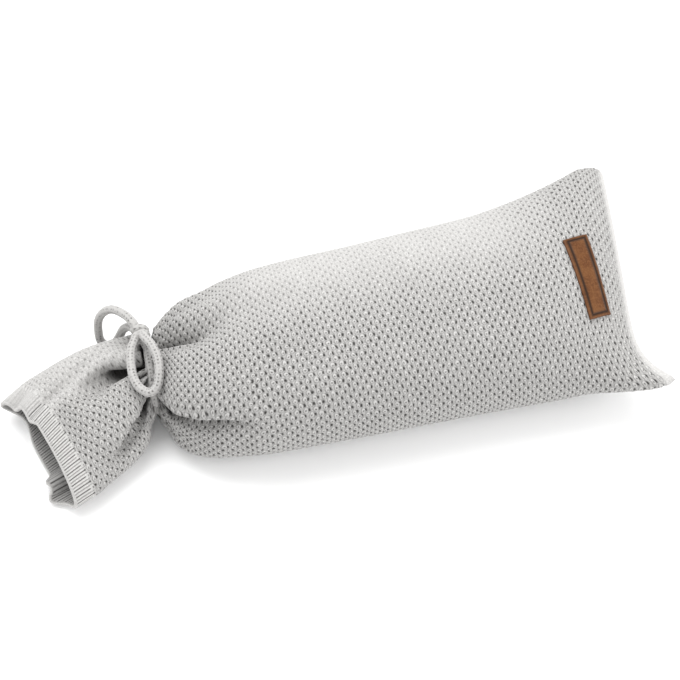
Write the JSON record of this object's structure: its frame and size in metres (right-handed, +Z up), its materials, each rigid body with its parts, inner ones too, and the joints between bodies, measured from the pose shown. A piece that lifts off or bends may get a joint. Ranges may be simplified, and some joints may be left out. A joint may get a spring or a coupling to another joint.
{
  "type": "hot water bottle cover",
  "caption": "Knitted bag lying on its side as if filled, its neck gathered and tied with a cord bow below a ribbed open frill, and a small leather label by the sewn end.",
  "frame": {"origin": "on the resting surface, under the middle of the bag's bounding box", "axes": "+X along the bag from the open mouth to the sewn end, +Z up from the surface that it lies on"},
  "size_m": [0.3937, 0.1597, 0.0763],
  "materials": {
    "knit_grey": "soft open cotton knit, warm light grey",
    "cord_grey": "round knitted cotton cord, light grey",
    "leather_tan": "smooth tan leather, satin"
  },
  "bodies": {
    "root": {"bag": "knit_grey", "tie_wrap": "cord_grey", "tie_knot": "cord_grey", "tie_loop_front": "cord_grey", "tie_loop_back": "cord_grey", "label": "leather_tan"}
  },
  "joints": []
}
